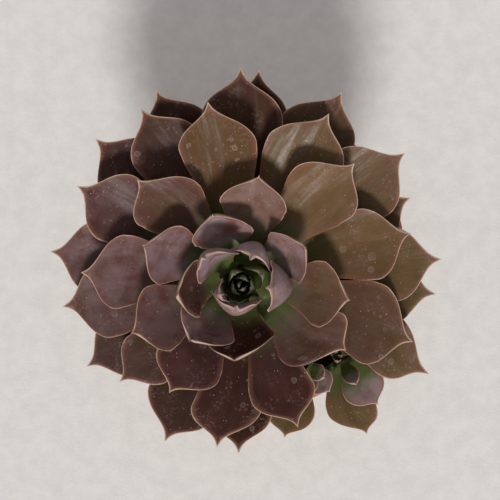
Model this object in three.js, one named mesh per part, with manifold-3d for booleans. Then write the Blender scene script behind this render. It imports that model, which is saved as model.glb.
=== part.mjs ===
// Potted rosette succulent: a dark Echeveria with two offsets in a round plastic nursery pot.
// Millimetres, +Z up. The origin is the centre of the pot's underside, which stands on Z = 0.
import * as THREE from "three";
import { mergeVertices } from "three/addons/utils/BufferGeometryUtils.js";
import Module from "manifold-3d";

const wasm = await Module();
wasm.setup();

// ---- driving dimensions -------------------------------------------------------------------
const GAP = 0.3; // clearance kept between any two pieces

const POT_HEIGHT = 92;
const RIM_RADIUS = 52.5;
const RIM_BAND = 11; // height of the straight band round the mouth
const RIM_STEP = 4.1; // how far the band stands out from the top of the body
const BODY_TOP_RADIUS = RIM_RADIUS - RIM_STEP;
const BODY_TAPER = 12; // how much narrower the body is at its foot
const FOOT_RADIUS = BODY_TOP_RADIUS - BODY_TAPER;
const WALL = 1.4;
const PAD_RADIUS = 14; // flat pad in the middle of the underside
const GROOVE_OUTER_RADIUS = 29.5;
const GROOVE_RISE = 2.5; // the drained ring of the floor stands this far off the ground
const DRAIN_HOLES = 6;
const DRAIN_HOLE_DIAMETER = 8;
const POT_SEGMENTS = 48;

const SOIL_BELOW_MOUTH = 11.8; // how far the soil at the wall lies below the mouth
const SOIL_EDGE = POT_HEIGHT - SOIL_BELOW_MOUTH;
const SOIL_MOUND = 2; // how much higher the soil stands in the middle

const ROSETTE_FOOT = new THREE.Vector3(-3, -5, POT_HEIGHT - 6); // on the main stem, above the soil
const ROSETTE_LEAN = 5; // degrees off upright
const ROSETTE_LEAN_TOWARDS = 241; // azimuth of the lean, degrees counter-clockwise from +X
const STEM_RADIUS = 7;
const STEM_BURIED = 16;
const YOUNGEST_FOOT = 28; // height on the stem of the innermost leaf
const LEAF_SPACING = 0.57; // drop along the stem from one leaf to the next older one
const LEAF_THICKNESS = 4;
const LEAF_SCALE = 1; // scales every leaf's reach and width

// Main leaves, youngest first, following one another at about the golden angle:
// [azimuth in degrees, reach of the tip from the stem's axis, greatest width, sideways set of the
// tip, and how far the blade bellies outwards where that isn't the usual BELLY].
const BELLY = 3;
const MAIN_LEAVES = [
  [197, 5.5, 7, 0.5, 1.5],
  [127, 13.5, 14.5, 1.5],
  [262, 6.5, 16, 0.5, 2.5],
  [64, 10, 15.5, 0, 9],
  [182, 18.5, 17.5, 1.5],
  [357, 9, 16, 0.5, 15],
  [105, 23, 19, 1.5],
  [233, 22.5, 19, -1.5],
  [31, 24, 18, -0.5],
  [156, 31.5, 19.5, 0.5],
  [79, 34, 20.5, 0],
  [203, 36.5, 21, 1],
  [354, 34.5, 20.5, -1],
  [130, 44.5, 22, 3],
  [275, 24, 21, -3.5, 6],
  [48, 51, 23, -1.5],
  [174, 49.5, 23.5, 2],
  [319, 39, 23, 6],
  [98, 56.5, 24, 1.5],
  [239, 42, 22, -1],
  [17, 55, 23, -0.5],
  [149, 59.5, 23.5, 0.5],
  [290, 50, 21, 1.5],
  [64, 59, 25, -2],
  [190, 58, 23.5, -1.5],
  [343, 57.5, 26, -2],
  [119, 63, 23.5, 1],
  [265, 55.5, 23, -3],
  [39, 65, 25.5, -1],
  [171, 63, 24, 1],
  [89, 67.5, 26, 1],
  [221, 53, 20, -0.5],
  [6, 63.5, 24, 0.5],
  [137, 65.5, 24, -1],
  [269, 58.5, 22, 0],
  [63, 68, 25.5, -1.5],
  [338, 67, 20, -5],
  [113, 67.5, 23, 1.5],
  [243, 61, 23.5, 2],
  [25, 60, 23, 1],
  [86, 68, 22, -1],
  [352, 63, 22, 4],
  [336, 65, 19, -5],
  [211, 60, 22, -1],
];

// A place at an azimuth, this far in from the wall, where the stem of an offset stands.
function nearWall(azimuth, inset) {
  const place = new THREE.Vector3(BODY_TOP_RADIUS - inset, 0, POT_HEIGHT - 10);
  return place.applyAxisAngle(new THREE.Vector3(0, 0, 1), THREE.MathUtils.degToRad(azimuth));
}

// Offsets: foot of each stem, then its leaves, oldest first, as
// [azimuth, reach, height of the tip above the foot, width, sideways set of the tip].
const OFFSETS = [
  {
    name: "offset_a",
    foot: nearWall(-65.43283, 9.91624),
    leaves: [
      [258, 26, 16, 17, 0],
      [313, 14, 17, 10, 0.5],
      [290, 11, 20, 7, 0],
      [330, 9, 21, 6, 0],
    ],
  },
  {
    name: "offset_b",
    foot: nearWall(-48.31094, 5.54851),
    leaves: [
      [284, 29, 15, 17, 3],
      [308, 21.5, 17, 15, 0],
      [300, 11, 22, 6, 0],
      [20, 5, 22, 5, 0],
    ],
  },
];
const OFFSET_STEM_RADIUS = 2.4;
const OFFSET_STEM_HEIGHT = 16.5;

// ---- helpers ------------------------------------------------------------------------------
const radians = THREE.MathUtils.degToRad;
const lerp = THREE.MathUtils.lerp;
const material = (color, roughness) => new THREE.MeshStandardMaterial({ color, roughness });

const PLASTIC = material(0xbd6243, 0.45);
const COMPOST = material(0x3a2c22, 0.95);
const BARK = material(0x6f6a45, 0.7);
const LEAF_SKIN = material(0x6a4a3e, 0.4);
const YOUNG_SKIN = material(0x77835a, 0.4);

// A solid turned about Z from [radius, height] pairs that start and end on the axis.
function turned(profile, segments = POT_SEGMENTS) {
  const points = profile.map(([r, z]) => new THREE.Vector2(r, z));
  return new THREE.LatheGeometry(points, segments).rotateX(Math.PI / 2);
}

function solidOf(geometry, matrix = new THREE.Matrix4()) {
  const bare = new THREE.BufferGeometry()
    .setAttribute("position", geometry.getAttribute("position").clone())
    .setIndex(geometry.index)
    .applyMatrix4(matrix);
  const merged = mergeVertices(bare, 1e-4);
  const triangles = [];
  for (let i = 0; i < merged.index.count; i += 3) {
    const [a, b, c] = [0, 1, 2].map((k) => merged.index.getX(i + k));
    if (a !== b && b !== c && c !== a) triangles.push(a, b, c);
  }
  return new wasm.Manifold(
    new wasm.Mesh({
      numProp: 3,
      vertProperties: merged.getAttribute("position").array,
      triVerts: new Uint32Array(triangles),
    }),
  );
}

function geometryOf(solid) {
  const mesh = solid.getMesh();
  const geometry = new THREE.BufferGeometry();
  geometry.setAttribute("position", new THREE.BufferAttribute(mesh.vertProperties, 3));
  geometry.setIndex(new THREE.BufferAttribute(mesh.triVerts, 1));
  geometry.computeVertexNormals();
  return geometry;
}

function piece(name, geometry, skin) {
  const mesh = new THREE.Mesh(geometry, skin);
  mesh.name = name;
  return mesh;
}

// ---- leaf ---------------------------------------------------------------------------------
// Sections along a leaf: [share of its length, share of its width, share of its thickness].
const SECTIONS = [
  [0.03, 0.34, 0.5],
  [0.2, 0.4, 0.66],
  [0.38, 0.57, 0.86],
  [0.55, 0.8, 1],
  [0.69, 0.97, 0.98],
  [0.79, 0.97, 0.84],
  [0.88, 0.64, 0.62],
  [0.95, 0.22, 0.36],
];

// The leaves of the offsets are fuller towards their foot.
const OFFSET_SECTIONS = [
  [0.03, 0.4, 0.5],
  [0.2, 0.56, 0.7],
  [0.38, 0.8, 0.9],
  [0.55, 0.98, 1],
  [0.69, 0.96, 0.94],
  [0.79, 0.8, 0.8],
  [0.88, 0.5, 0.6],
  [0.95, 0.18, 0.36],
];

// One leaf pointing along +X from the stem's axis. Each section is a ring of eight points: the two
// edges, three points across the cupped upper face and three across the keeled lower face.
function leafGeometry({ root, foot, reach, rise, width, set, bulge, cup, thickness, sections = SECTIONS }) {
  const chord = new THREE.Vector2(reach - root, rise - foot);
  const away = new THREE.Vector2(chord.y, -chord.x).normalize();
  const bend = new THREE.Vector2(root, foot).addScaledVector(chord, 0.5).addScaledVector(away, bulge);
  const midrib = (t) => {
    const [a, b, c] = [(1 - t) * (1 - t), 2 * t * (1 - t), t * t];
    return new THREE.Vector2(a * root + b * bend.x + c * reach, a * foot + b * bend.y + c * rise);
  };
  const slope = (t) =>
    new THREE.Vector2(
      2 * (1 - t) * (bend.x - root) + 2 * t * (reach - bend.x),
      2 * (1 - t) * (bend.y - foot) + 2 * t * (rise - bend.y),
    ).normalize();
  const drift = (t) => set * THREE.MathUtils.smoothstep(t, 0.6, 1);

  const points = [];
  const put = (t, side, lift) => {
    const at = midrib(t);
    const along = slope(t);
    points.push(at.x - along.y * lift, side + drift(t), at.y + along.x * lift);
  };
  put(0, 0, 0);
  for (const [t, wide, thick] of sections) {
    const half = (width / 2) * wide;
    const body = thickness * thick;
    const trough = cup * wide * wide;
    put(t, half, trough);
    for (const s of [0.55, 0, -0.55]) put(t, s * half, trough * s * s + 0.3 * body * (1 - s * s));
    put(t, -half, trough);
    for (const s of [-0.55, 0, 0.55]) put(t, s * half, trough * s * s - 0.7 * body * (1 - s * s));
  }
  put(1, 0, 0);

  const ring = 8;
  const tip = points.length / 3 - 1;
  const faces = [];
  for (let k = 0; k < ring; k++) {
    const next = (k + 1) % ring;
    faces.push(0, 1 + next, 1 + k);
    for (let s = 0; s < sections.length - 1; s++) {
      const [here, there] = [1 + s * ring, 1 + (s + 1) * ring];
      faces.push(here + k, here + next, there + next, here + k, there + next, there + k);
    }
    const last = 1 + (sections.length - 1) * ring;
    faces.push(tip, last + k, last + next);
  }
  const geometry = new THREE.BufferGeometry();
  geometry.setAttribute("position", new THREE.Float32BufferAttribute(points, 3));
  geometry.setIndex(faces);
  geometry.computeVertexNormals();
  return geometry;
}

// Leaves grow past each other without touching: a leaf that would foul a piece already in place is
// first raised at its tip, then narrowed a little, until it stands clear.
const placed = []; // {box, solid} of every piece in place, in the plant's own frame
const place = (solid) => {
  const { min, max } = solid.boundingBox();
  placed.push({ solid, box: new THREE.Box3(new THREE.Vector3(...min), new THREE.Vector3(...max)) });
};
function isClear(solid) {
  const { min, max } = solid.boundingBox();
  const box = new THREE.Box3(new THREE.Vector3(...min), new THREE.Vector3(...max)).expandByScalar(GAP);
  return placed.every((other) => !box.intersectsBox(other.box) || solid.minGap(other.solid, GAP) >= GAP * 0.98);
}
function grow(name, shape, frame, skin) {
  for (let slim = 1; slim > 0.5; slim *= 0.9) {
    for (let lift = 0; lift <= 9; lift += 0.75) {
      const geometry = leafGeometry({
        ...shape,
        foot: shape.foot + lift * 0.35,
        rise: shape.rise + lift,
        width: shape.width * slim,
      });
      const solid = solidOf(geometry, frame);
      if (!isClear(solid)) continue;
      place(solid);
      const leaf = piece(name, geometry, skin);
      leaf.applyMatrix4(frame);
      leaf.userData = { lift, slim };
      return leaf;
    }
  }
  throw new Error(name + " finds no clear place");
}

// ---- pot ----------------------------------------------------------------------------------
const bandFoot = POT_HEIGHT - RIM_BAND;
const pot = (() => {
  const floor = WALL + 0.2;
  const body = solidOf(
    turned([
      [0, 0],
      [PAD_RADIUS, 0],
      [PAD_RADIUS + 1.5, GROOVE_RISE],
      [GROOVE_OUTER_RADIUS, GROOVE_RISE],
      [GROOVE_OUTER_RADIUS + 1.5, 0],
      [FOOT_RADIUS - 0.8, 0],
      [FOOT_RADIUS, 1],
      [BODY_TOP_RADIUS, bandFoot - 1.2],
      [RIM_RADIUS - 0.9, bandFoot],
      [RIM_RADIUS, bandFoot + 0.9],
      [RIM_RADIUS, POT_HEIGHT - 0.8],
      [RIM_RADIUS - 0.5, POT_HEIGHT],
      [RIM_RADIUS - WALL - 0.3, POT_HEIGHT],
      [RIM_RADIUS - WALL - 0.7, POT_HEIGHT - 0.8],
      [RIM_RADIUS - WALL - 0.7, bandFoot + 1.9],
      [BODY_TOP_RADIUS - WALL + 0.5, bandFoot + 0.4],
      [BODY_TOP_RADIUS - WALL, bandFoot - 1],
      [FOOT_RADIUS - WALL, floor + 0.8],
      [FOOT_RADIUS - WALL - 0.8, floor],
      [GROOVE_OUTER_RADIUS + 2, floor],
      [GROOVE_OUTER_RADIUS + 0.5, GROOVE_RISE + floor],
      [PAD_RADIUS + 1, GROOVE_RISE + floor],
      [PAD_RADIUS - 0.5, floor],
      [0, floor],
    ]),
  );
  const drill = new THREE.CylinderGeometry(DRAIN_HOLE_DIAMETER / 2, DRAIN_HOLE_DIAMETER / 2, 8, 24);
  drill.rotateX(Math.PI / 2);
  const ring = (PAD_RADIUS + 1.5 + GROOVE_OUTER_RADIUS) / 2;
  let drained = body;
  for (let i = 0; i < DRAIN_HOLES; i++) {
    const turn = new THREE.Matrix4()
      .makeRotationZ((i / DRAIN_HOLES) * Math.PI * 2)
      .multiply(new THREE.Matrix4().makeTranslation(ring, 0, GROOVE_RISE + 1));
    drained = drained.subtract(solidOf(drill, turn));
  }
  return drained;
})();

// ---- stems --------------------------------------------------------------------------------
const leanAxis = new THREE.Vector3(
  -Math.sin(radians(ROSETTE_LEAN_TOWARDS)),
  Math.cos(radians(ROSETTE_LEAN_TOWARDS)),
  0,
);
const rosetteFrame = new THREE.Matrix4()
  .makeTranslation(ROSETTE_FOOT)
  .multiply(new THREE.Matrix4().makeRotationAxis(leanAxis, radians(ROSETTE_LEAN)));

const stemTop = YOUNGEST_FOOT + 1;
const stemRadius = (h) => (h < 4 ? STEM_RADIUS : lerp(STEM_RADIUS, 3.4, (h - 4) / (stemTop - 4)));
const stemProfile = (spare) => [
  [0, -STEM_BURIED - spare],
  [STEM_RADIUS - 2 + spare, -STEM_BURIED - spare],
  [STEM_RADIUS + spare, -STEM_BURIED + 3],
  [STEM_RADIUS + spare, 4],
  [stemRadius(stemTop) + spare, stemTop + spare],
  [0, stemTop + spare],
];
const offsetFrame = (offset) => new THREE.Matrix4().makeTranslation(offset.foot);
const offsetProfile = (spare) => [
  [0, -11 - spare],
  [OFFSET_STEM_RADIUS + spare, -10],
  [OFFSET_STEM_RADIUS + spare, OFFSET_STEM_HEIGHT - 1 + spare],
  [1 + spare, OFFSET_STEM_HEIGHT + spare],
  [0, OFFSET_STEM_HEIGHT + spare],
];

// ---- soil ---------------------------------------------------------------------------------
const soil = (() => {
  const floor = WALL + 0.2 + GAP;
  const wallTop = BODY_TOP_RADIUS - WALL - GAP;
  let body = solidOf(
    turned([
      [0, floor],
      [PAD_RADIUS - 0.7, floor],
      [PAD_RADIUS + 0.8, GROOVE_RISE + floor],
      [GROOVE_OUTER_RADIUS + 0.7, GROOVE_RISE + floor],
      [GROOVE_OUTER_RADIUS + 2.2, floor],
      [FOOT_RADIUS - WALL - 1.1, floor],
      [FOOT_RADIUS - WALL - GAP - 0.1, floor + 0.9],
      [wallTop - 0.1, SOIL_EDGE],
      [wallTop * 0.85, SOIL_EDGE + SOIL_MOUND * 0.5],
      [wallTop * 0.45, SOIL_EDGE + SOIL_MOUND],
      [0, SOIL_EDGE + SOIL_MOUND],
    ]),
  );
  body = body.subtract(solidOf(turned(stemProfile(GAP), 24), rosetteFrame));
  for (const offset of OFFSETS) {
    body = body.subtract(solidOf(turned(offsetProfile(GAP), 12), offsetFrame(offset)));
  }
  return body;
})();

// ---- the plant ----------------------------------------------------------------------------
const plant = new THREE.Group();
plant.add(piece("pot", geometryOf(pot), PLASTIC), piece("soil", geometryOf(soil), COMPOST));
place(pot);
place(soil);

const stem = piece("stem", turned(stemProfile(0), 24), BARK);
stem.applyMatrix4(rosetteFrame);
plant.add(stem);

for (const offset of OFFSETS) {
  const frame = offsetFrame(offset);
  const offsetStem = piece(offset.name + "_stem", turned(offsetProfile(0), 12), BARK);
  offsetStem.applyMatrix4(frame);
  plant.add(offsetStem);
  place(solidOf(turned(offsetProfile(0), 12), frame));
}
for (let i = 0; i < OFFSETS[0].leaves.length; i++) {
  for (const offset of OFFSETS) {
    const [azimuth, reach, rise, width, set] = offset.leaves[i];
    const shape = {
      root: OFFSET_STEM_RADIUS + GAP + 0.2,
      foot: 10.4 + 1.5 * i,
      reach: reach * LEAF_SCALE,
      rise,
      width: width * LEAF_SCALE,
      set,
      bulge: 0.5,
      cup: width * 0.12,
      thickness: 2.4,
      sections: OFFSET_SECTIONS,
    };
    const frame = offsetFrame(offset).multiply(new THREE.Matrix4().makeRotationZ(radians(azimuth)));
    plant.add(grow(offset.name + "_leaf_" + (i + 1), shape, frame, LEAF_SKIN));
  }
}

// Height of a tip above the foot of the stem, falling from the heart to the skirt of the rosette.
function tipRise(age) {
  if (age <= 13) return 47.5 - 0.8 * age;
  if (age <= 27) return 37.1 - (age - 13);
  return 23.1 - 0.4 * (age - 27);
}

for (let age = MAIN_LEAVES.length - 1; age >= 0; age--) {
  const [azimuth, reach, width, set, belly = BELLY] = MAIN_LEAVES[age];
  const foot = YOUNGEST_FOOT - LEAF_SPACING * age;
  const youth = 1 - age / (MAIN_LEAVES.length - 1);
  const shape = {
    root: stemRadius(foot) + GAP + 0.1,
    foot,
    reach: reach * LEAF_SCALE,
    rise: tipRise(age),
    width: width * LEAF_SCALE,
    set,
    bulge: belly,
    cup: width * lerp(0.1, 0.3, youth * youth),
    thickness: LEAF_THICKNESS * Math.min(1, 0.25 + width / 32),
  };
  const turn = new THREE.Matrix4().makeRotationZ(radians(azimuth));
  const name = "leaf_" + String(age + 1).padStart(2, "0");
  plant.add(grow(name, shape, rosetteFrame.clone().multiply(turn), LEAF_SKIN));
}

// The heart: a few tiny unopened leaves grown together on the end of the stem.
const heart = (() => {
  const base = stemTop + GAP;
  let body = solidOf(
    turned(
      [
        [0, base],
        [2.6, base],
        [3, base + 3],
        [1.6, base + 7],
        [0, base + 8],
      ],
      12,
    ),
    rosetteFrame,
  );
  for (let i = 0; i < 5; i++) {
    const shape = {
      root: 0.4,
      foot: base + 1.2,
      reach: 3.4 - 0.5 * i,
      rise: base + 9 + 0.8 * i,
      width: 5.4 - 0.5 * i,
      set: 0,
      bulge: 4 - 0.5 * i,
      cup: 1,
      thickness: 1.4,
    };
    const turn = new THREE.Matrix4().makeRotationZ(radians(40 - 137.5 * i));
    body = body.add(solidOf(leafGeometry(shape), rosetteFrame.clone().multiply(turn)));
  }
  return body;
})();
plant.add(piece("heart", geometryOf(heart), YOUNG_SKIN));

export default plant;
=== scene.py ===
# %% [markdown]
# # A dark rosette succulent in a nursery pot
#
# The imported model gives the place and size of every leaf, stem, pot and soil piece. It is loaded
# first and never moved: each piece below is made round one of its nodes. The finished plant has to
# fill the same one.

# %% Load the frame
import math
import random

import bmesh
import bpy
import numpy as np
from mathutils import Matrix, Vector, noise


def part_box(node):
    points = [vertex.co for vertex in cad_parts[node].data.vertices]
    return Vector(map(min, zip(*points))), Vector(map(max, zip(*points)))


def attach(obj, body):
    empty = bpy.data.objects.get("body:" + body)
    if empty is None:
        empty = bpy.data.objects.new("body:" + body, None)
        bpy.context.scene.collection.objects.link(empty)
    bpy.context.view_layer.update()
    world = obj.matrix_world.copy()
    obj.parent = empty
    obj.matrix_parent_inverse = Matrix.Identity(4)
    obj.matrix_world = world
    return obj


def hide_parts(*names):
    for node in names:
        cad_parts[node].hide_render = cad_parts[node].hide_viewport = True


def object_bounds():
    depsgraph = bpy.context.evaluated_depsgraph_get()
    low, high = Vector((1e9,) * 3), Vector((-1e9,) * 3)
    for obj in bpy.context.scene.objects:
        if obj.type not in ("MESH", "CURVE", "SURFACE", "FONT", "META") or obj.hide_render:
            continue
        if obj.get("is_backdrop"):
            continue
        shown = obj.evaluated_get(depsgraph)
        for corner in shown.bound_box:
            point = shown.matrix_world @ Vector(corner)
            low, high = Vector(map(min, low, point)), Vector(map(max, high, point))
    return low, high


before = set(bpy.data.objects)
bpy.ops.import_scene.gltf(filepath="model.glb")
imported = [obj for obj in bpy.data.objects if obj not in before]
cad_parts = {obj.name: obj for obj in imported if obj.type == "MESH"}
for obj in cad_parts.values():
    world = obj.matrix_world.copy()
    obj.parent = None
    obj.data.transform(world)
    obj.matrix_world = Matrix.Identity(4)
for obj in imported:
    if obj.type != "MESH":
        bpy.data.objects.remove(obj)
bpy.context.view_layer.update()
MM = 0.001

# %% [markdown]
# ## The camera
#
# The plant is looked at from straight above, close enough that the tall heart of the rosette
# stands nearer than its skirt. A long lens from far away would flatten that, so the height of the
# eye over the floor matters more than the lens, and the lens then only frames the plant.

# %% Camera
EYE = Vector((-1.0, 2.7, 375)) * MM
FIELD = 0.60753  # width of the view at one unit of distance
NEAREST = 10 * MM

camera = bpy.data.objects.new("eye", bpy.data.cameras.new("eye"))
camera.location = EYE
camera.data.lens = camera.data.sensor_width / FIELD
camera.data.clip_start = NEAREST
bpy.context.scene.collection.objects.link(camera)
bpy.context.scene.camera = camera
print("eye", round(EYE.z / MM), "mm above the floor, lens", round(camera.data.lens, 1))

# %% [markdown]
# ## Light and floor
#
# One lamp as wide as a large soft window stands half way up in front of the plant, so that every
# leaf throws a shadow with a soft edge on the one behind it. A sun lamp keeps that shadow the same
# everywhere, and its angle sets how soft the edge is. A plain pale world fills the shade.
# The floor is a wide sheet of pale paper with a faint tooth.

# %% Lamp and fill
LAMP_HEIGHT = math.radians(46)
LAMP_WIDTH = math.radians(12)
LAMP_STRENGTH = 2.2
LAMP_TINT = (1.0, 0.985, 0.96)
FILL_STRENGTH = 0.4
FILL_TINT = (0.97, 0.985, 1.0, 1.0)

lamp = bpy.data.objects.new("window", bpy.data.lights.new("window", "SUN"))
lamp.rotation_euler = (math.pi / 2 - LAMP_HEIGHT, 0, 0)
lamp.data.energy = LAMP_STRENGTH
lamp.data.angle = LAMP_WIDTH
lamp.data.color = LAMP_TINT
bpy.context.scene.collection.objects.link(lamp)

world = bpy.data.worlds.new("room")
world.use_nodes = True
fill = world.node_tree.nodes["Background"].inputs
fill["Color"].default_value = FILL_TINT
fill["Strength"].default_value = FILL_STRENGTH
bpy.context.scene.world = world
bpy.context.scene.view_settings.view_transform = "Standard"
print("lamp at", round(math.degrees(LAMP_HEIGHT)), "degrees")

# %% [markdown]
# ## Building shaders
#
# A material here is a chain of small steps, and writing each link by hand hides the idea. These
# helpers add one node, feed its sockets with values or with other nodes' outputs, and hand back
# what it puts out, so that a material reads as a list of layers.

# %% Shader helpers
def feed(tree, socket, value):
    """Gives a socket what another node puts out, or a plain value."""
    if isinstance(value, bpy.types.NodeSocket):
        tree.links.new(value, socket)
    else:
        socket.default_value = value


def step(tree, kind, feeds=None, **settings):
    """Adds one shader node, with its settings and what goes into its sockets."""
    made = tree.nodes.new("ShaderNode" + kind)
    for key, value in settings.items():
        setattr(made, key, value)
    for socket, value in (feeds or {}).items():
        feed(tree, made.inputs[socket], value)
    return made


def sums(tree, operation, a, b=0.0):
    """One sum on values, such as SUBTRACT or POWER."""
    return step(tree, "Math", {0: a, 1: b}, operation=operation).outputs[0]


def times(tree, a, b):
    return sums(tree, "MULTIPLY", a, b)


def plus(tree, value, more, share):
    """Value with a share of more added."""
    return sums(tree, "ADD", value, times(tree, more, share))


def fade(tree, value, start, end):
    """0 at start and 1 at end, eased between. start may be the larger."""
    feeds = {"Value": value, "From Min": start, "From Max": end}
    return step(tree, "MapRange", feeds, interpolation_type="SMOOTHSTEP").outputs["Result"]


def layer(tree, mask, under, over, how="MIX"):
    """Colour over laid on colour under where the mask is 1."""
    # The node mixes values and vectors too, so its colour sockets are found by their numbers.
    feeds = {0: mask, 6: under, 7: over}
    return step(tree, "Mix", feeds, data_type="RGBA", blend_type=how).outputs[2]


def grain(tree, where, scale, detail=3.0, roughness=0.55):
    """Noise between 0 and 1, with its middle at a half."""
    feeds = {"Vector": where, "Scale": scale, "Detail": detail, "Roughness": roughness}
    return step(tree, "TexNoise", feeds).outputs["Fac"]


def colour(red_and_shade, green, blue):
    return (red_and_shade, green, blue, 1.0)


def new_material(name):
    material = bpy.data.materials.new(name)
    material.use_nodes = True
    tree = material.node_tree
    return material, tree, tree.nodes["Principled BSDF"]


def new_group(name, inputs, outputs):
    """A shader node group with its sockets: name and default for a value, or None for a vector."""
    group = bpy.data.node_groups.new(name, "ShaderNodeTree")
    for label, value in inputs:
        kind = "NodeSocketVector" if value is None else "NodeSocketFloat"
        socket = group.interface.new_socket(label, in_out="INPUT", socket_type=kind)
        if value is not None:
            socket.default_value = value
    for label in outputs:
        group.interface.new_socket(label, in_out="OUTPUT", socket_type="NodeSocketFloat")
    return group, group.nodes.new("NodeGroupInput").outputs, group.nodes.new("NodeGroupOutput")


def place_group(tree, group, feeds):
    return step(tree, "Group", feeds, node_tree=group).outputs


def relief(tree, shader, height, strength, distance):
    """Makes the surface look raised where the height is more."""
    bump = step(tree, "Bump", {"Height": height, "Strength": strength, "Distance": distance})
    tree.links.new(bump.outputs["Normal"], shader.inputs["Normal"])


print("shader helpers ready")

# %% [markdown]
# ## Marks that several surfaces share
#
# Water dries on the leaves and the pot in pale round marks with a darker middle, and dust gathers
# in specks. Both come from a Voronoi texture, which gives the distance to the nearest of many
# scattered points: a ring is where that distance is just so, and a speck where it is nearly
# nothing. Its random colour makes the marks differ, and leaves most places without one.

# %% Water marks and dust
def make_water_marks():
    """Round dried marks. Scale is marks per metre, Share how many places hold one."""
    inputs = [("Where", None), ("Scale", 250.0), ("Share", 0.4)]
    group, given, put = new_group("water marks", inputs, ["Film", "Rim", "Height"])
    wobble = step(group, "TexNoise", {"Vector": given["Where"], "Scale": 700.0, "Detail": 1.0})
    reach = (0.8 * MM,) * 3
    bent = step(group, "VectorMath", {0: wobble.outputs["Color"], 1: reach}, operation="MULTIPLY")
    where = step(group, "VectorMath", {0: given["Where"], 1: bent.outputs[0]}, operation="ADD")
    cells = step(group, "TexVoronoi", {"Vector": where.outputs[0], "Scale": given["Scale"]})
    luck = step(group, "SeparateColor", {"Color": cells.outputs["Color"]})
    size = plus(group, 0.1, luck.outputs["Green"], 0.24)
    holds = sums(group, "LESS_THAN", luck.outputs["Red"], given["Share"])
    inside = sums(group, "SUBTRACT", size, cells.outputs["Distance"])
    film = times(group, fade(group, inside, 0.0, 0.05), holds)
    edge = sums(group, "ABSOLUTE", sums(group, "SUBTRACT", inside, 0.03))
    rim = times(group, fade(group, edge, 0.035, 0.0), holds)
    dome = times(group, fade(group, inside, -0.02, 0.2), holds)
    for label, value in (("Film", film), ("Rim", rim), ("Height", dome)):
        group.links.new(value, put.inputs[label])
    return group


def make_dust():
    """Specks of dust. Scale is specks per metre, Share how many places hold one."""
    inputs = [("Where", None), ("Scale", 900.0), ("Share", 0.2)]
    group, given, put = new_group("dust", inputs, ["Speck"])
    cells = step(group, "TexVoronoi", {"Vector": given["Where"], "Scale": given["Scale"]})
    luck = step(group, "SeparateColor", {"Color": cells.outputs["Color"]})
    holds = sums(group, "LESS_THAN", luck.outputs["Red"], given["Share"])
    size = times(group, luck.outputs["Blue"], 0.22)
    speck = fade(group, sums(group, "SUBTRACT", size, cells.outputs["Distance"]), 0.0, 0.06)
    group.links.new(times(group, speck, holds), put.inputs["Speck"])
    return group


WATER_MARKS = make_water_marks()
DUST = make_dust()
print("groups", WATER_MARKS.name, DUST.name)

# %% [markdown]
# ## Reading a leaf from the frame
#
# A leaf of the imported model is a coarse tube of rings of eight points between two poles. Its shape
# is all in four lines that run from the root to the tip: the two edges, the middle of the upper
# face and the middle of the keel. They are found by walking from the root, ring by ring, so the
# fine leaf always follows the frame, wherever a leaf was moved to clear its neighbours.

# %% Rails of a leaf
POLE_EDGES = 8  # as many as a ring has points


def merged_copy(node):
    """A bmesh of a frame node with its loose triangles joined."""
    bm = bmesh.new()
    bm.from_mesh(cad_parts[node].data)
    bmesh.ops.remove_doubles(bm, verts=bm.verts, dist=0.002 * MM)
    return bm


def in_order(ring):
    """The ring's vertices as they follow one another."""
    left = set(ring)
    walk = [left.pop()]
    while left:
        around = [edge.other_vert(walk[-1]) for edge in walk[-1].link_edges]
        following = next(vert for vert in around if vert in left)
        left.remove(following)
        walk.append(following)
    return walk


def rings_of(bm):
    """Rings from the lower pole, the root, to the upper one, the tip."""
    poles = [vert for vert in bm.verts if len(vert.link_edges) == POLE_EDGES]
    root, tip = sorted(poles, key=lambda pole: pole.co.z)
    seen, rings = {root}, [[root]]
    while rings[-1] != [tip]:
        ring = {e.other_vert(v) for v in rings[-1] for e in v.link_edges} - seen
        seen |= ring
        rings.append(in_order(ring))
    return rings


def leaf_rails(node):
    """The four rails as an array: place along, then left edge, right edge, upper middle, keel."""
    bm = merged_copy(node)
    rings = rings_of(bm)
    axis = (rings[-1][0].co - rings[0][0].co).normalized()
    rows = []
    for ring in rings[1:-1]:
        half = len(ring) // 2
        start = max(range(half), key=lambda i: (ring[i].co - ring[i + half].co).length)
        quarters = [(start + i * half // 2) % len(ring) for i in range(4)]
        edge_a, mid_a, edge_b, mid_b = (ring[i].co for i in quarters)
        face = (edge_a + edge_b) / 2 - (mid_a + mid_b) / 2
        if (mid_a - mid_b).dot(face) < 0:
            mid_a, mid_b = mid_b, mid_a
        if (edge_a - edge_b).dot(face.cross(axis)) < 0:
            edge_a, edge_b = edge_b, edge_a
        rows.append([edge_a.copy(), edge_b.copy(), mid_a.copy(), mid_b.copy()])
    root, tip = rings[0][0].co.copy(), rings[-1][0].co.copy()
    bm.free()
    return np.array([[root] * 4, *rows, [tip] * 4])


def knots_of(rails):
    """Share of the leaf's length at each row of its rails, and the length."""
    middle = rails.mean(axis=1)
    steps = np.linalg.norm(np.diff(middle, axis=0), axis=1)
    return np.concatenate([[0], np.cumsum(steps)]) / steps.sum(), steps.sum()


def smooth_row(rails, knots, t):
    """The rails' points at share t of the length, on a smooth curve through their rows."""
    slopes = np.gradient(rails, knots, axis=0)
    i = min(int(np.searchsorted(knots, t, side="right")) - 1, len(knots) - 2)
    span = knots[i + 1] - knots[i]
    f = (t - knots[i]) / span
    start, end = 2 * f**3 - 3 * f**2 + 1, 3 * f**2 - 2 * f**3
    leave, arrive = (f**3 - 2 * f**2 + f) * span, (f**3 - f**2) * span
    return start * rails[i] + end * rails[i + 1] + leave * slopes[i] + arrive * slopes[i + 1]


print("rails of leaf_30:", leaf_rails("leaf_30").shape)

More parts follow.
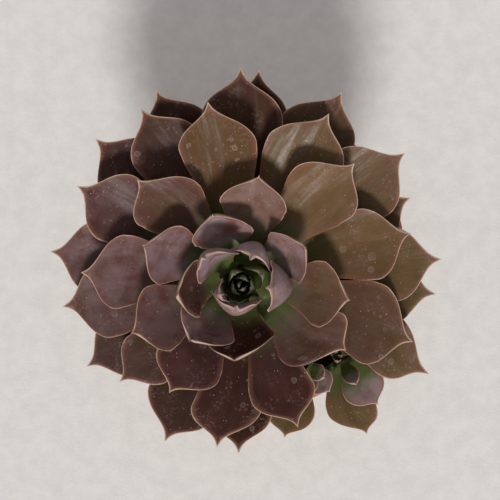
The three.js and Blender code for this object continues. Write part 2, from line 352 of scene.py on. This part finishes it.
# %% [markdown]
# ## Making a leaf
#
# The fine leaf starts as a flat grid that is rolled into a tube: one side of the grid runs round
# the leaf and the other from root to tip. Each point is laid between the rails, and then gets what
# the coarse leaf lacks: a rounded rim, a shallow channel along the middle, a keel below, a drawn
# out point and edges that wander a little, as no real leaf is quite even. The grid's own place is
# kept on the mesh as attributes, so that the skin can follow the leaf from root to tip.

# %% Leaf blade
AROUND = 40
ALONG = 44
TIP_CROWDING = 1.25  # above 1 the rows of the grid stand closer towards the tip
RIM = 0.17 * MM  # half the thickness of the edge
FULL_HALF_WIDTH = 4 * MM  # a narrower place is thinner too
CHANNEL = 0.6 * MM
CHANNEL_WIDTH = 2.4 * MM
KEEL_SHARE = 0.6  # how much of the channel shows below
TIP_DRAWN_FROM = 0.84
TIP_DRAWN_BY = 0.97
TIP_DRAWN_TO = 0.5
TIP_LIFT = 1.2
WANDER = 0.03
TATTER = 0.07


def rolled_sheet(around, along, values=(), vectors=()):
    """A flat grid with its attributes, and each vertex's place on it as (turn, rise), 0 to 1."""
    bm = bmesh.new()
    bmesh.ops.create_grid(bm, x_segments=around, y_segments=along, size=0.5)
    for name in values:
        bm.verts.layers.float.new(name)
    for name in vectors:
        bm.verts.layers.float_vector.new(name)
    return bm, {v: (v.co.x + 0.5, v.co.y + 0.5) for v in bm.verts}


def ease(value, start, end):
    """0 at start and 1 at end, eased between."""
    f = min(1.0, max(0.0, (value - start) / (end - start)))
    return f * f * (3 - 2 * f)


def smooth_faces(bm):
    for face in bm.faces:
        face.smooth = True


def close_up(bm):
    """Joins the seam and the poles, and turns every face outwards."""
    bmesh.ops.remove_doubles(bm, verts=bm.verts, dist=0.001 * MM)
    bmesh.ops.recalc_face_normals(bm, faces=bm.faces)
    smooth_faces(bm)


def leaf_blade(rails, seed, nature, wave=0.9 * MM, crinkle=0.0, green=1.0, detail=1.0):
    """A bmesh of one leaf laid on its rails.

    nature is (blush with painted shade, bloom, age), kept for the skin. A leaf with a low green
    is green further towards its tip, and a high detail makes the rim of a tiny leaf finer.
    """
    knots, length = knots_of(rails)
    bm, places = rolled_sheet(AROUND, ALONG, ("along", "edge", "upper"), ("blade", "nature"))
    along_layer, edge_layer, upper_layer = bm.verts.layers.float.values()
    blade_layer, nature_layer = bm.verts.layers.float_vector.values()
    rows = {}
    for vert, (turn, rise) in places.items():
        t = 1 - (1 - rise) ** TIP_CROWDING
        if t not in rows:
            rows[t] = [Vector(point) for point in smooth_row(rails, knots, t)]
        left, right, top, keel = rows[t]
        angle = 2 * math.pi * turn
        across, side = math.cos(angle), math.sin(angle)
        face = top if side > 0 else keel
        middle, half = (left + right) / 2, (left - right) / 2
        up = (middle - keel).normalized() if (middle - keel).length > 1e-7 else Vector((0, 0, 1))
        drawn = 1 + (TIP_DRAWN_TO - 1) * ease(t, TIP_DRAWN_FROM, TIP_DRAWN_BY)
        wander = 1 + WANDER * noise.noise(Vector((t * 5, math.copysign(3, across), seed)))
        tatter = noise.noise(Vector((t * 20, math.copysign(5, across), seed + 40)))
        tatter *= ease(t, 0.4, 0.75)
        wander += TATTER * crinkle / MM * tatter
        half = half * drawn * wander
        thick = min(1.0, half.length / FULL_HALF_WIDTH)
        place = face + across * half + across**2 * drawn * (middle - face)
        place += up * side * RIM * thick
        reach = across * half.length
        dip = math.exp(-((reach / CHANNEL_WIDTH) ** 2)) * ease(t, 0.0, 0.15) * ease(t, 0.95, 0.7)
        place -= up * CHANNEL * dip * thick * (1 if side > 0 else KEEL_SHARE)
        ripple = noise.noise(Vector((t * 4.5, math.copysign(7, across), seed + 20)))
        place += up * wave * ripple * abs(across) ** 3 * thick * ease(t, 0.1, 0.4)
        place += up * crinkle * tatter * abs(across) ** 5
        place += up * crinkle * TIP_LIFT * ease(t, 0.93, 1.0)
        vert.co = place
        vert[along_layer] = t * green
        vert[edge_layer] = ((1 - abs(across)) * half.length + 0.04 * (1 - t) ** 2 * length) * detail
        vert[upper_layer] = 0.5 + 0.5 * max(-1.0, min(1.0, side * 3))
        vert[blade_layer] = (reach, t * length, seed)
        vert[nature_layer] = nature
    close_up(bm)
    return bm


def loose_object(name, bm):
    """An object of the scene made from a bmesh, with no finish and on no body."""
    mesh = bpy.data.meshes.new(name)
    bm.to_mesh(mesh)
    bm.free()
    made = bpy.data.objects.new(name, mesh)
    bpy.context.scene.collection.objects.link(made)
    return made


def new_piece(name, bm, material, replaced=(), smoothing=1):
    """Makes the object, with its finish, on the plant's body."""
    piece = loose_object(name, bm)
    piece.data.materials.append(material)
    if smoothing:
        finer = piece.modifiers.new("finer", "SUBSURF")
        finer.levels = finer.render_levels = smoothing
    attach(piece, "root")
    if replaced:
        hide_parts(*replaced)
    return piece


print("leaf of", AROUND, "by", ALONG)

# %% [markdown]
# ## The skin of the leaves
#
# A dark rosette leaf is olive brown where it is old, wine red where it sees the sun and mauve
# under a bloom of wax where it is young, and always green towards its root. The wine is made darker
# than the leaf's own red, as painted shade, on the old leaves at the back and at the bottom. Its
# edge is a thin clear rim that looks pale, painted partly in the margin's own colour and partly as
# painted light shining through it. The layers below go on in that order, then dried water and dust
# on top. Three numbers on each leaf, its blush with painted shade, its bloom and its age, say how
# much of each it gets, so one material serves the whole plant.

# %% Leaf skin
OLIVE = colour(0.158, 0.088, 0.033)
OLD_GREEN = colour(0.138, 0.090, 0.037)
# The two wines are darker than the leaf's own red, as painted shade on the leaves with most blush.
WINE_AND_SHADE = colour(0.062, 0.021, 0.017)
OLD_WINE_AND_SHADE = colour(0.044, 0.019, 0.012)
MAUVE = colour(0.245, 0.102, 0.098)
ROOT_GREEN = colour(0.098, 0.118, 0.036)
WAXED_GREEN = colour(0.220, 0.250, 0.170)
BLOOM = colour(0.540, 0.445, 0.500)
RIM_TAN = colour(0.560, 0.420, 0.290)
RIM_PINK = colour(0.640, 0.400, 0.370)
RIM_GLOW = colour(0.230, 0.092, 0.066)
UNDERSIDE = colour(0.150, 0.095, 0.080)
MARK = colour(0.360, 0.270, 0.235)
DIM = colour(0.45, 0.45, 0.45)
BRIGHT = colour(1.5, 1.5, 1.5)
SMOOTHEST = 0.30
DULLEST_SHINE = 0.07


def make_leaf_skin():
    material, tree, shader = new_material("leaf skin")
    read = {
        name: step(tree, "Attribute", attribute_name=name).outputs
        for name in ("along", "edge", "upper", "blade", "nature")
    }
    blade = read["blade"]["Vector"]
    along, edge = read["along"]["Fac"], read["edge"]["Fac"]
    nature = step(tree, "SeparateXYZ", {"Vector": read["nature"]["Vector"]}).outputs
    blush_and_shade, bloom, age = nature["X"], nature["Y"], nature["Z"]

    cloud = grain(tree, blade, 110.0)
    fine = grain(tree, blade, 900.0, 4.0, 0.65)
    stretched = step(tree, "Mapping", {"Vector": blade, "Scale": (1.0, 0.12, 1.0)}).outputs["Vector"]
    fibre = grain(tree, stretched, 1700.0, 2.0)
    streak = grain(tree, stretched, 330.0, 3.0)

    skin = layer(tree, age, OLIVE, OLD_GREEN)
    # The red layer is partly the leaf's own wine and partly painted shade on the old back and bottom
    # leaves.
    red_and_shade = fade(tree, plus(tree, blush_and_shade, cloud, 0.8), 0.35, 1.25)
    skin = layer(tree, red_and_shade, skin, layer(tree, age, WINE_AND_SHADE, OLD_WINE_AND_SHADE))
    young = fade(tree, plus(tree, bloom, cloud, 0.3), 0.15, 1.1)
    skin = layer(tree, young, skin, MAUVE)
    skin = layer(tree, 0.9, skin, layer(tree, cloud, DIM, BRIGHT), "MULTIPLY")
    skin = layer(tree, 0.4, skin, layer(tree, fibre, DIM, BRIGHT), "MULTIPLY")

    waxed = sums(tree, "MINIMUM", times(tree, sums(tree, "POWER", bloom, 1.8), 1.3), 0.9)
    waxed = times(tree, waxed, fade(tree, grain(tree, blade, 150.0), 0.28, 0.66))
    skin = layer(tree, waxed, skin, BLOOM)
    # A far place is one far from the root. The wax hides the green over a shorter way.
    far = plus(tree, plus(tree, along, cloud, 0.3), bloom, -0.16)
    skin = layer(tree, fade(tree, far, 0.74, 0.5), skin, layer(tree, bloom, skin, WAXED_GREEN))
    skin = layer(tree, fade(tree, far, 0.62, 0.38), skin, ROOT_GREEN)

    # The red band along the edge is partly the leaf's own red and partly a painted glow of light
    # through the thin edge.
    glow = times(tree, fade(tree, edge, 2.4 * MM, 0.3 * MM), 0.65)
    glow = times(tree, glow, fade(tree, along, 0.2, 0.45))
    skin = layer(tree, glow, skin, RIM_GLOW)
    # The pale rim is partly the margin's own colour and partly painted light shining through the
    # clear edge.
    ragged = plus(tree, plus(tree, edge, fine, 0.5 * MM), cloud, 0.7 * MM)
    rim = fade(tree, ragged, 1.2 * MM, 0.7 * MM)
    # Only the heart has a blush below nothing, and its rims are green.
    rim_colour_with_light = layer(tree, bloom, RIM_TAN, RIM_PINK)
    rim_colour_with_light = layer(tree, fade(tree, blush_and_shade, 0.0, -1.0), rim_colour_with_light, WAXED_GREEN)
    skin = layer(tree, times(tree, rim, 0.85), skin, rim_colour_with_light)
    below = times(tree, fade(tree, read["upper"]["Fac"], 0.3, 0.0), 0.5)
    below = times(tree, below, fade(tree, along, 0.2, 0.5))
    skin = layer(tree, below, skin, UNDERSIDE)

    marks = place_group(tree, WATER_MARKS, {"Where": blade, "Scale": 230.0, "Share": 0.35})
    spatter = place_group(tree, WATER_MARKS, {"Where": blade, "Scale": 620.0, "Share": 0.28})
    patches = fade(tree, grain(tree, blade, 45.0, 1.0), 0.42, 0.62)
    film = times(tree, sums(tree, "MAXIMUM", marks["Film"], spatter["Film"]), patches)
    ring = times(tree, sums(tree, "MAXIMUM", marks["Rim"], spatter["Rim"]), patches)
    skin = layer(tree, times(tree, film, 0.2), skin, MARK)
    skin = layer(tree, times(tree, ring, 0.5), skin, MARK)
    scurf = fade(tree, grain(tree, blade, 1000.0, 4.0, 0.75), 0.48, 0.72)
    scurf = times(tree, scurf, fade(tree, grain(tree, blade, 130.0, 2.0), 0.48, 0.66))
    scurf = times(tree, scurf, fade(tree, along, 0.45, 0.85))
    skin = layer(tree, times(tree, scurf, 0.32), skin, RIM_PINK)
    specks = place_group(tree, DUST, {"Where": blade, "Scale": 1100.0, "Share": 0.16})
    skin = layer(tree, times(tree, specks["Speck"], 0.6), skin, RIM_PINK)
    tree.links.new(skin, shader.inputs["Base Color"])

    sheen = times(tree, fade(tree, streak, 0.46, 0.7), fade(tree, blush_and_shade, 1.2, 0.1))
    shine = plus(tree, DULLEST_SHINE, sheen, 0.38)
    tree.links.new(shine, shader.inputs["Specular IOR Level"])
    rough = plus(tree, plus(tree, SMOOTHEST, fine, 0.22), waxed, 0.2)
    rough = plus(tree, rough, spatter["Height"], -0.12)
    tree.links.new(rough, shader.inputs["Roughness"])

    height = times(tree, fine, 0.6)
    drops = times(tree, spatter["Height"], patches)
    for bumps, share in ((fibre, 0.4), (cloud, 2.4), (streak, 0.8), (scurf, 0.5), (drops, 0.9)):
        height = plus(tree, height, bumps, share)
    relief(tree, shader, height, 0.6, 0.18 * MM)
    return material


LEAF_SKIN = make_leaf_skin()
print("made", LEAF_SKIN.name)

# %% [markdown]
# ## Growing the rosette
#
# The leaves are numbered from the heart outwards. The young ones carry the bloom. Further out the
# side to the left of the heart blushes red, and the side to the right stays olive. The old leaves at
# the back and at the bottom get the darkest wine, partly their own red and partly painted shade.
# Those numbers come from each leaf's place round the stem, so no leaf needs its own colour.

# %% Rosette leaves
MAIN_LEAVES = sorted(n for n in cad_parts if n.startswith("leaf_"))
stem_low, stem_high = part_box("stem")
STEM_MIDDLE = (stem_low + stem_high) / 2
YOUNG_LEAVES = 9
BLOOM_AT_HEART = 1.1
BLOOM_REACH = 14  # the leaf whose number is this has lost one whole step of bloom
BLUSH_CHANCE = 0.12
# Eight sides, an eighth of a turn apart from +X.
YOUNG_BLUSH = (0.32, 0.08, 0.22, 0.62, 0.62, 0.70, 0.95, 0.60)
# Full blush on the old leaves at the back and at the bottom is partly painted shade.
OLD_BLUSH_AND_SHADE = (0.0, 0.28, 1.0, 1.0, 0.66, 0.72, 0.95, 0.10)
# Young leaves left of the heart lose bloom, partly for their own greener colour and partly as painted
# shade.
BLOOM_LOST_AND_SHADE = (0.0, 0.0, 0.0, 0.1, 0.8, 0.2, 0.3, 0.1)
OLD_BLOOM = (0.08, 0.14, 0.0, 0.14, 0.30, 0.14, 0.0, 0.18)


def round_the_stem(values, angle):
    """Values spaced evenly round a turn, read at an angle with an eased blend."""
    place = (angle / (2 * math.pi)) % 1 * len(values)
    share = ease(place % 1, 0.0, 1.0)
    return values[int(place)] * (1 - share) + values[(int(place) + 1) % len(values)] * share


def nature_of(number, rails):
    """Blush, partly painted shade, bloom and age of a leaf from its number and the side it grows on.
    """
    outward = Vector(rails[-1, 0]) - STEM_MIDDLE
    angle = math.atan2(outward.y, outward.x)
    age = (number - 1) / (len(MAIN_LEAVES) - 1)
    young_blush, old_blush_and_shade = round_the_stem(YOUNG_BLUSH, angle), round_the_stem(OLD_BLUSH_AND_SHADE, angle)
    # The old leaves' blush is partly painted shade at the back and at the bottom.
    blush_and_shade = young_blush + (old_blush_and_shade - young_blush) * ease(age, 0.5, 0.8)
    blush_and_shade += random.Random(number).uniform(-BLUSH_CHANCE, BLUSH_CHANCE)
    bloom = BLOOM_AT_HEART - number / BLOOM_REACH
    if number < YOUNG_LEAVES:
        # Less bloom, and so a darker leaf, left of the heart is partly painted shade.
        bloom -= round_the_stem(BLOOM_LOST_AND_SHADE, angle)
    else:
        bloom = max(bloom, round_the_stem(OLD_BLOOM, angle))
    return [min(1.0, max(0.0, x)) for x in (blush_and_shade, bloom, 1.6 * age - 0.6)]


for name in MAIN_LEAVES:
    number = int(name[-2:])
    rails = leaf_rails(name)
    crinkle = max(0.15, 1.3 - number / 15) * MM
    blade = leaf_blade(rails, number * 3.7, nature_of(number, rails), crinkle=crinkle)
    new_piece(name + "_blade", blade, LEAF_SKIN, [name])
print(len(MAIN_LEAVES), "leaves in the rosette")

# %% [markdown]
# ## The offsets
#
# Two small plants push out from under the skirt. Their leaves are made in the same way, with less
# wave in their thin edges. The younger ones have more wax and stay green further out.

# %% Offset leaves
OFFSET_LEAVES = sorted(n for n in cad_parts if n.startswith("offset_") and "_leaf_" in n)
SMALL_WAVE = 0.2 * MM
# The numbers run from the oldest leaf to the youngest.
OFFSET_NATURE = {
    "1": (0.0, 0.0, 0.8),
    "2": (0.3, 0.45, 0.3),
    "3": (0.1, 0.65, 0.3),
    "4": (0.0, 0.75, 0.3),
}

for index, name in enumerate(OFFSET_LEAVES):
    nature = OFFSET_NATURE[name[-1]]
    rails, seed = leaf_rails(name), 200 + index * 5.3
    blade = leaf_blade(rails, seed, nature, SMALL_WAVE, green=1 - 0.45 * nature[1])
    new_piece(name + "_blade", blade, LEAF_SKIN, [name])
print(len(OFFSET_LEAVES), "leaves on the offsets")

# %% [markdown]
# ## The hearts
#
# The frame holds one small bud at the top of the main stem. On the plant it is a nest of tiny green
# leaves, each cupped round the next and turned by the golden angle. They have no nodes of their
# own, so their rails are worked out here, within the room that the bud fills. The two offsets end
# in the same kind of nest, only smaller, on top of their stems.

# %% Tiny leaves
GOLDEN = math.radians(137.5)
FIRST_TURN = 0.7
HEART_NATURE = (-1.0, 0.0, 1.0)
OFFSET_HEART_NATURE = (0.1, 0.55, 0.3)
TINY_CRINKLE = 0.35 * MM
TINY_DETAIL = 2.4


def bud_rails(foot, top, spread, share, turn):
    """Rails of one tiny leaf. share is 0 for the outermost and 1 for the innermost."""
    chance = random.Random(round(turn * 100))
    outward = Vector((math.cos(turn), math.sin(turn), 0))
    side = Vector((-math.sin(turn), math.cos(turn), 0))
    reach = spread * (1.0 - 0.93 * share) * chance.uniform(0.85, 1.15)
    rise = (top - foot.z) * (0.62 + 0.38 * share) * chance.uniform(0.92, 1.0)
    half_width = spread * (0.68 - 0.46 * share) * chance.uniform(0.85, 1.1)
    thickness = spread * (0.2 - 0.08 * share)
    sway = side * spread * (1 - share) * chance.uniform(-0.35, 0.35)
    rows = []
    for t in (0.05, 0.25, 0.5, 0.7, 0.82, 0.92):
        belly = outward * (reach * (0.35 + 0.65 * math.sin(t * 1.9))) + sway * t * t
        middle = foot + belly + Vector((0, 0, rise * t**1.1))
        wide = half_width * math.sin(math.pi * min(1.0, 0.16 + 0.84 * t**1.4)) ** 0.6
        edges = middle - outward * (0.8 - 0.55 * share) * wide
        upper, keel = middle - outward * thickness * 0.3, middle + outward * thickness * 0.7
        rows.append([edges + side * wide, edges - side * wide, upper, keel])
    root = foot + outward * 0.2 * reach
    tip = foot + outward * reach * 0.88 + sway + Vector((0, 0, rise))
    return np.array([[root] * 4, *rows, [tip] * 4])


def nest(name, foot, top, spread, count, nature, green, replaced=()):
    """A nest of tiny leaves in one piece."""
    made = bmesh.new()
    for index in range(count):
        rails = bud_rails(foot, top, spread, index / (count - 1), FIRST_TURN - GOLDEN * index)
        seed = 400 + 3.1 * index
        leaflet = leaf_blade(rails, seed, nature, SMALL_WAVE, TINY_CRINKLE, green, TINY_DETAIL)
        scrap = bpy.data.meshes.new("leaflet")
        leaflet.to_mesh(scrap)
        leaflet.free()
        made.from_mesh(scrap)
        bpy.data.meshes.remove(scrap)
    new_piece(name, made, LEAF_SKIN, replaced, smoothing=0)
    print(name, count, "leaves")


def middle_at(low, high, z):
    """The middle of a box, at a height."""
    return Vector(((low.x + high.x) / 2, (low.y + high.y) / 2, z))


# %% [markdown]
# The large nest fills the room of the bud, and each small one stands at the end of its stem.

# %% Heart and offset hearts
low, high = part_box("heart")
foot, top = middle_at(low, high, low.z + 0.3 * MM), high.z + 0.5 * MM
nest("heart_leaves", foot, top, 6.6 * MM, 8, HEART_NATURE, 0.3, ["heart"])
for name in ("offset_a", "offset_b"):
    low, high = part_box(name + "_stem")
    foot, top = middle_at(low, high, high.z - 1.5 * MM), high.z + 5.5 * MM
    nest(name + "_heart", foot, top, 3.0 * MM, 5, OFFSET_HEART_NATURE, 0.6)

# %% [markdown]
# ## The stems
#
# The stems are short, green to brown, and ringed with the scars of fallen leaves. Their frame
# nodes already have the right shape, so a joined copy is cut finer and its skin pushed in and out
# by a little noise.

# %% Stems
BARK_GREEN = colour(0.130, 0.120, 0.060)
BARK_BROWN = colour(0.120, 0.075, 0.045)
BARK_LUMPS = 0.25 * MM


def make_bark():
    material, tree, shader = new_material("stem bark")
    where = step(tree, "TexCoord").outputs["Object"]
    flat = step(tree, "Mapping", {"Vector": where, "Scale": (1.0, 1.0, 3.0)}).outputs["Vector"]
    rings = grain(tree, flat, 260.0, 4.0)
    shade = layer(tree, fade(tree, rings, 0.35, 0.65), BARK_BROWN, BARK_GREEN)
    specks = place_group(tree, DUST, {"Where": where, "Scale": 900.0, "Share": 0.25})
    shade = layer(tree, times(tree, specks["Speck"], 0.5), shade, UNDERSIDE)
    tree.links.new(shade, shader.inputs["Base Color"])
    tree.links.new(plus(tree, 0.55, rings, 0.3), shader.inputs["Roughness"])
    relief(tree, shader, rings, 0.7, 0.4 * MM)
    return material


BARK = make_bark()
for name in ("stem", "offset_a_stem", "offset_b_stem"):
    bm = merged_copy(name)
    limits = {"angle_face_threshold": 0.8, "angle_shape_threshold": 1.2}
    bmesh.ops.join_triangles(bm, faces=bm.faces, **limits)
    bmesh.ops.subdivide_edges(bm, edges=bm.edges, cuts=2, use_grid_fill=True)
    for vert in bm.verts:
        vert.co += vert.normal * BARK_LUMPS * noise.noise(vert.co * 400)
    smooth_faces(bm)
    new_piece(name + "_bark", bm, BARK, [name])
print("three stems")

# %% [markdown]
# ## The pot
#
# A nursery pot is thin moulded plastic: one wall turned about the middle, with a straight band
# round its mouth and a grooved floor. The wall's outline is drawn once, its corners are rounded
# with a bevel and it is spun a full turn, far finer than the frame's.

# %% Pot wall
pot_low, pot_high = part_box("pot")
RIM_RADIUS = (pot_high.x - pot_low.x) / 2
POT_HEIGHT = pot_high.z - pot_low.z
BAND = 11 * MM
WALL = 1.4 * MM
RIM_STEP = 4.1 * MM
BODY_TAPER = 12 * MM
BODY_TOP = RIM_RADIUS - RIM_STEP
FOOT = BODY_TOP - BODY_TAPER
PAD = 14 * MM
GROOVE = 29.5 * MM
GROOVE_RISE = 2.5 * MM
FLOOR = WALL + 0.2 * MM
HOLES = 6
HOLE_RADIUS = 4 * MM
CORNER = 0.5 * MM
POT_STEPS = 144

band_foot = POT_HEIGHT - BAND
POT_OUTLINE = [
    (0, 0),
    (PAD, 0),
    (PAD + 1.5 * MM, GROOVE_RISE),
    (GROOVE, GROOVE_RISE),
    (GROOVE + 1.5 * MM, 0),
    (FOOT - 0.3 * MM, 0),
    (BODY_TOP, band_foot - 1.2 * MM),
    (RIM_RADIUS - 0.5 * MM, band_foot),
    (RIM_RADIUS, POT_HEIGHT),
    (RIM_RADIUS - WALL - 0.4 * MM, POT_HEIGHT),
    (RIM_RADIUS - WALL - 0.7 * MM, band_foot + 1.6 * MM),
    (BODY_TOP - WALL, band_foot),
    (FOOT - WALL - 0.3 * MM, FLOOR),
    (GROOVE + 2 * MM, FLOOR),
    (GROOVE + 0.5 * MM, GROOVE_RISE + FLOOR),
    (PAD + 1 * MM, GROOVE_RISE + FLOOR),
    (PAD - 0.5 * MM, FLOOR),
    (0, FLOOR),
]
pot = bmesh.new()
corners = [pot.verts.new((r, 0, z)) for r, z in POT_OUTLINE]
for pair in zip(corners, corners[1:]):
    pot.edges.new(pair)
bmesh.ops.bevel(
    pot, geom=corners[1:-1], offset=CORNER, offset_type="OFFSET", segments=3, profile=0.5,
    affect="VERTICES", material=-1,
)
bmesh.ops.spin(
    pot, geom=pot.verts[:] + pot.edges[:], cent=(0, 0, 0), axis=(0, 0, 1), angle=2 * math.pi,
    steps=POT_STEPS, use_merge=True, use_duplicate=False,
)
close_up(pot)
print("pot wall", len(pot.faces), "faces")

# %% [markdown]
# The drain holes are cut with six short rods. A Boolean modifier does that, and its result is
# taken as the mesh, so that the finished pot holds no live cut.

# %% Drain holes
HOLE_CIRCLE = (PAD + 1.5 * MM + GROOVE) / 2
ROD_LENGTH = 8 * MM

drills = bmesh.new()
for i in range(HOLES):
    turn = Matrix.Rotation(2 * math.pi * i / HOLES, 4, "Z")
    bmesh.ops.create_cone(
        drills, cap_ends=True, segments=32, radius1=HOLE_RADIUS, radius2=HOLE_RADIUS,
        depth=ROD_LENGTH, matrix=turn @ Matrix.Translation((HOLE_CIRCLE, 0, GROOVE_RISE + 1 * MM)),
    )

whole, rods = loose_object("whole pot", pot), loose_object("rods", drills)
cut = whole.modifiers.new("holes", "BOOLEAN")
cut.object, cut.operation, cut.solver = rods, "DIFFERENCE", "EXACT"
bpy.context.view_layer.update()
drained = bmesh.new()
drained.from_object(whole, bpy.context.evaluated_depsgraph_get())
for scrap in (whole, rods):
    bpy.data.objects.remove(scrap)
smooth_faces(drained)
print("pot with holes", len(drained.faces), "faces")

# %% [markdown]
# ## Moulded plastic
#
# The pot is a warm terracotta plastic with a faint tooth. It has cloudy flow streaks from the
# mould, a grey tide line of dried hard water, a few water marks and a little dust.

# %% Pot plastic
TERRACOTTA = colour(0.520, 0.150, 0.072)
TERRACOTTA_PALE = colour(0.600, 0.210, 0.115)
LIME = colour(0.560, 0.430, 0.360)
TIDE_HEIGHT = 17 * MM


def make_plastic():
    material, tree, shader = new_material("terracotta plastic")
    where = step(tree, "TexCoord").outputs["Object"]
    flow = step(tree, "Mapping", {"Vector": where, "Scale": (1.0, 1.0, 0.25)}).outputs["Vector"]
    streaks = grain(tree, flow, 60.0, 3.0)
    tooth = grain(tree, where, 2600.0, 2.0)
    shade = layer(tree, fade(tree, streaks, 0.4, 0.7), TERRACOTTA, TERRACOTTA_PALE)
    height = step(tree, "SeparateXYZ", {"Vector": where}).outputs["Z"]
    tide = plus(tree, height, grain(tree, where, 90.0), 9 * MM)
    line = sums(tree, "ABSOLUTE", sums(tree, "SUBTRACT", tide, TIDE_HEIGHT))
    shade = layer(tree, times(tree, fade(tree, line, 3 * MM, 0.0), 0.3), shade, LIME)
    marks = place_group(tree, WATER_MARKS, {"Where": where, "Scale": 190.0, "Share": 0.2})
    shade = layer(tree, times(tree, marks["Rim"], 0.12), shade, LIME)
    specks = place_group(tree, DUST, {"Where": where, "Scale": 700.0, "Share": 0.15})
    shade = layer(tree, times(tree, specks["Speck"], 0.5), shade, LIME)
    tree.links.new(shade, shader.inputs["Base Color"])
    tree.links.new(plus(tree, 0.36, streaks, 0.22), shader.inputs["Roughness"])
    relief(tree, shader, tooth, 0.25, 0.1 * MM)
    return material


pot_piece = new_piece("pot_plastic", drained, make_plastic(), ["pot"], smoothing=0)
print("made", pot_piece.name)

# %% [markdown]
# ## The soil
#
# The pot is filled with a dark peaty mix. Its top is a disc rolled from a grid, rumpled by noise,
# and strewn with crumbs of peat and a few white grains of perlite. The crumbs are tiny, so each is
# a ball of twenty faces pulled out of shape. The frame's own soil stays below, inside the pot.

# %% Soil
PEAT = colour(0.032, 0.022, 0.015)
PEAT_DRY = colour(0.110, 0.075, 0.050)
PERLITE_GREY = colour(0.42, 0.40, 0.36)
PERLITE_WHITE = colour(0.640, 0.620, 0.580)
CRUMBS = 700
PERLITE = 60
MOUND = 2 * MM
MOUND_SLOPE = 0.55  # share of the radius over which the mound rises
soil_low, soil_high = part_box("soil")
SOIL_RADIUS = (soil_high.x - soil_low.x) / 2
SOIL_EDGE = soil_high.z - MOUND


def make_soil(name, dark, pale, roughness):
    material, tree, shader = new_material(name)
    where = step(tree, "TexCoord").outputs["Object"]
    lumps = grain(tree, where, 500.0, 5.0, 0.7)
    shade = layer(tree, fade(tree, lumps, 0.35, 0.7), dark, pale)
    tree.links.new(shade, shader.inputs["Base Color"])
    shader.inputs["Roughness"].default_value = roughness
    relief(tree, shader, lumps, 0.9, 0.8 * MM)
    return material


PEAT_MIX = make_soil("peat mix", PEAT, PEAT_DRY, 0.95)
PERLITE_GRAIN = make_soil("perlite", PERLITE_GREY, PERLITE_WHITE, 0.85)


def soil_height(x, y):
    """Height of the rumpled top at a place."""
    out = min(1.0, math.hypot(x, y) / SOIL_RADIUS)
    mound = SOIL_EDGE + MOUND * min(1.0, (1 - out) / MOUND_SLOPE)
    lumps = noise.fractal(Vector((x * 160, y * 160, 4)), 0.8, 2.2, 4)
    return mound + (0.35 + 0.4 * lumps) * MM


top, places = rolled_sheet(128, 44)
for vert, (turn, rise) in places.items():
    angle, radius = 2 * math.pi * turn, rise * (SOIL_RADIUS - 0.1 * MM)
    x, y = radius * math.cos(angle), radius * math.sin(angle)
    vert.co = (x, y, soil_height(x, y))
close_up(top)
if sum(face.normal.z for face in top.faces) < 0:
    bmesh.ops.reverse_faces(top, faces=top.faces)
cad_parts["soil"].data.materials.clear()
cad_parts["soil"].data.materials.append(PEAT_MIX)
new_piece("soil_top", top, PEAT_MIX, smoothing=0)
print("soil top at", round(SOIL_EDGE / MM, 1), "mm")

# %% [markdown]
# The crumbs fall anywhere on the top with an equal chance, and sink a little way into it.

# %% Crumbs and perlite
STREW_SEED = 11  # starts both kinds of chance, so that every run strews alike
CRUMB_ROUGHNESS = 0.25 * MM
strewn = random.Random(STREW_SEED)
noise.seed_set(STREW_SEED)


def strew(name, count, smallest, largest, material):
    """Crumbs of one kind, all in one piece."""
    bm = bmesh.new()
    for _ in range(count):
        angle = strewn.uniform(0, 2 * math.pi)
        radius = (SOIL_RADIUS - 2 * MM) * math.sqrt(strewn.random())
        size = strewn.uniform(smallest, largest)
        x, y = radius * math.cos(angle), radius * math.sin(angle)
        shape = Matrix.Diagonal((*(size * strewn.uniform(0.6, 1.2) for _ in range(3)), 1))
        spin = Matrix.Rotation(strewn.uniform(0, 6), 4, Vector((strewn.random(), strewn.random(), 1)))
        at = Matrix.Translation((x, y, soil_height(x, y) + 0.2 * size))
        bmesh.ops.create_icosphere(bm, subdivisions=1, radius=0.5, matrix=at @ spin @ shape)
    for vert in bm.verts:
        vert.co += noise.noise_vector(vert.co * 1500) * CRUMB_ROUGHNESS
    return new_piece(name, bm, material, smoothing=0)


strew("soil_crumbs", CRUMBS, 1.0 * MM, 3.0 * MM, PEAT_MIX)
strew("perlite_grains", PERLITE, 1.0 * MM, 2.2 * MM, PERLITE_GRAIN)
print(CRUMBS, "crumbs and", PERLITE, "grains of perlite")

# %% [markdown]
# ## The floor
#
# A wide pale sheet lies under the pot. Its cloudy paper tone and tooth are faint, so that it stays
# a plain ground.

# %% Floor
FLOOR_SIZE = 4.0
FLOOR_PALE = colour(0.790, 0.775, 0.745)
FLOOR_SHADE = colour(0.715, 0.703, 0.678)


def make_paper():
    material, tree, shader = new_material("pale paper")
    where = step(tree, "TexCoord").outputs["Object"]
    cloudy = grain(tree, where, 120.0, 5.0, 0.7)
    tooth = grain(tree, where, 1100.0, 3.0, 0.7)
    shade = layer(tree, fade(tree, cloudy, 0.3, 0.7), FLOOR_PALE, FLOOR_SHADE)
    tree.links.new(shade, shader.inputs["Base Color"])
    shader.inputs["Roughness"].default_value = 0.9
    relief(tree, shader, tooth, 0.6, 0.25 * MM)
    return material


ground = bmesh.new()
bmesh.ops.create_grid(ground, x_segments=1, y_segments=1, size=FLOOR_SIZE / 2)
floor = loose_object("floor", ground)
floor.data.materials.append(make_paper())
floor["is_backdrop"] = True
print("floor", FLOOR_SIZE, "m")

# %% Finish
low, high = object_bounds()
print("visual box", [round(1000 * x, 1) for x in low], [round(1000 * x, 1) for x in high])
